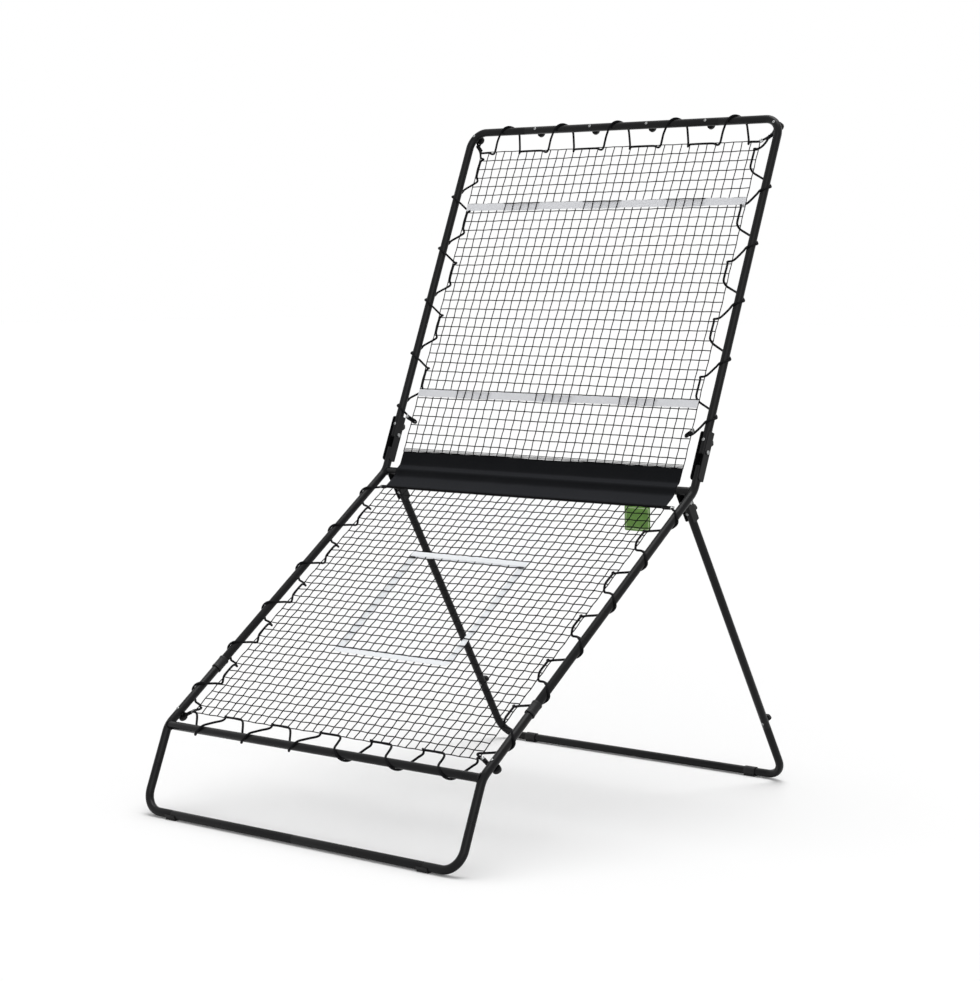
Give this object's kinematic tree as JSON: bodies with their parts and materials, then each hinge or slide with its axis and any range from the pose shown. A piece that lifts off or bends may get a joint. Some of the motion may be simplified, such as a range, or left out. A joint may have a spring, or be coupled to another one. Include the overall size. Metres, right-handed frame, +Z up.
{
  "type": "padel rebounder",
  "caption": "Free-standing folding tube frame with a sloping lower net and a steep upper net that return a ball.",
  "frame": {"origin": "on the floor, in the middle of the footprint", "axes": "+Z up, +X to the right as the player sees it, the player stands at -Y and the rear legs are at +Y"},
  "size_m": [1.2564, 1.6343, 2.0639],
  "materials": {
    "black_powder_coat": "satin black powder coat on steel tube",
    "black_plastic": "fine textured moulding",
    "zinc_plate": "bright zinc plate",
    "black_elastic": "braided cover over rubber",
    "black_net": "knotless polyester strand",
    "black_cloth": "coated woven polyester",
    "white_ribbon": "woven tape",
    "green_card": "printed sheet, bare"
  },
  "bodies": {
    "ramp_frame": {"crease_fabric": "black_cloth", "front_foot_bar_left": "black_powder_coat", "front_foot_bar_right": "black_powder_coat", "front_foot_bend_left": "black_powder_coat", "front_foot_bend_right": "black_powder_coat", "front_foot_pad_left": "black_plastic", "front_foot_pad_right": "black_plastic", "hang_tag": "green_card", "hinge_pin_left": "zinc_plate", "hinge_pin_right": "zinc_plate", "hinge_saddle_left": "black_powder_coat", "hinge_saddle_right": "black_powder_coat", "leg_pin_left": "zinc_plate", "leg_pin_right": "zinc_plate", "leg_saddle_left": "black_powder_coat", "leg_saddle_right": "black_powder_coat", "lower_corner_bolt_left": "black_plastic", "lower_corner_bolt_right": "black_plastic", "lower_crossbar": "black_powder_coat", "lower_lacing": "black_elastic", "lower_net": "black_net", "lower_rail_left": "black_powder_coat", "lower_rail_right": "black_powder_coat", "middle_crossbar": "black_powder_coat", "rail_collar_left": "black_plastic", "rail_collar_right": "black_plastic", "target_ribbon": "white_ribbon", "upper_ramp_rail_left": "black_powder_coat", "upper_ramp_rail_right": "black_powder_coat"},
    "upper_panel": {"hinge_lock_bolt_left": "zinc_plate", "hinge_lock_bolt_right": "zinc_plate", "side_rail_left": "black_powder_coat", "side_rail_right": "black_powder_coat", "top_bar": "black_powder_coat", "top_bar_bolt_1": "black_plastic", "top_bar_bolt_2": "black_plastic", "top_bar_bolt_3": "black_plastic", "top_bar_bolt_4": "black_plastic", "top_corner_bolt_left": "black_plastic", "top_corner_bolt_right": "black_plastic", "upper_lacing": "black_elastic", "upper_net": "black_net", "upper_ribbon_bottom": "white_ribbon", "upper_ribbon_top": "white_ribbon"},
    "rear_leg_frame": {"leg_lock_bolt_left": "zinc_plate", "leg_lock_bolt_right": "zinc_plate", "rear_foot_bar": "black_powder_coat", "rear_foot_bend_left": "black_powder_coat", "rear_foot_bend_right": "black_powder_coat", "rear_foot_ring_left": "black_plastic", "rear_foot_ring_right": "black_plastic", "rear_leg_left": "black_powder_coat", "rear_leg_right": "black_powder_coat"},
    "hinge_lock_knob_left": {"hinge_lock_knob_left": "black_plastic"},
    "leg_lock_knob_left": {"leg_lock_knob_left": "black_plastic"},
    "leg_clamp_screw_left": {"leg_clamp_screw_left": "black_plastic"},
    "hinge_lock_knob_right": {"hinge_lock_knob_right": "black_plastic"},
    "leg_lock_knob_right": {"leg_lock_knob_right": "black_plastic"},
    "leg_clamp_screw_right": {"leg_clamp_screw_right": "black_plastic"}
  },
  "joints": [
    {"name": "upper_panel_fold", "type": "hinge", "parent": "ramp_frame", "child": "upper_panel", "pos_m": [0, 0.29366, 1.05988], "axis": [1, 0, 0], "range_deg": [0, 145]},
    {"name": "rear_leg_fold", "type": "hinge", "parent": "ramp_frame", "child": "rear_leg_frame", "pos_m": [0, 0.26317, 0.91348], "axis": [-1, 0, 0], "range_deg": [0, 82]},
    {"name": "hinge_lock_knob_turn_left", "type": "hinge", "parent": "ramp_frame", "child": "hinge_lock_knob_left", "pos_m": [-0.6075, 0.30678, 1.09254], "axis": [0, 0.9278, -0.373], "continuous": true},
    {"name": "leg_lock_knob_turn_left", "type": "hinge", "parent": "ramp_frame", "child": "leg_lock_knob_left", "pos_m": [-0.5694, 0.28128, 0.88329], "axis": [0, 0.8575, 0.5144], "continuous": true},
    {"name": "leg_clamp_screw_turn_left", "type": "hinge", "parent": "rear_leg_frame", "child": "leg_clamp_screw_left", "pos_m": [-0.5694, 0.689, 0.20366], "axis": [0, 0.8575, 0.5144], "continuous": true},
    {"name": "hinge_lock_knob_turn_right", "type": "hinge", "parent": "ramp_frame", "child": "hinge_lock_knob_right", "pos_m": [0.6075, 0.30678, 1.09254], "axis": [0, 0.9278, -0.373], "continuous": true},
    {"name": "leg_lock_knob_turn_right", "type": "hinge", "parent": "ramp_frame", "child": "leg_lock_knob_right", "pos_m": [0.5694, 0.28128, 0.88329], "axis": [0, 0.8575, 0.5144], "continuous": true},
    {"name": "leg_clamp_screw_turn_right", "type": "hinge", "parent": "rear_leg_frame", "child": "leg_clamp_screw_right", "pos_m": [0.5694, 0.689, 0.20366], "axis": [0, 0.8575, 0.5144], "continuous": true}
  ]
}
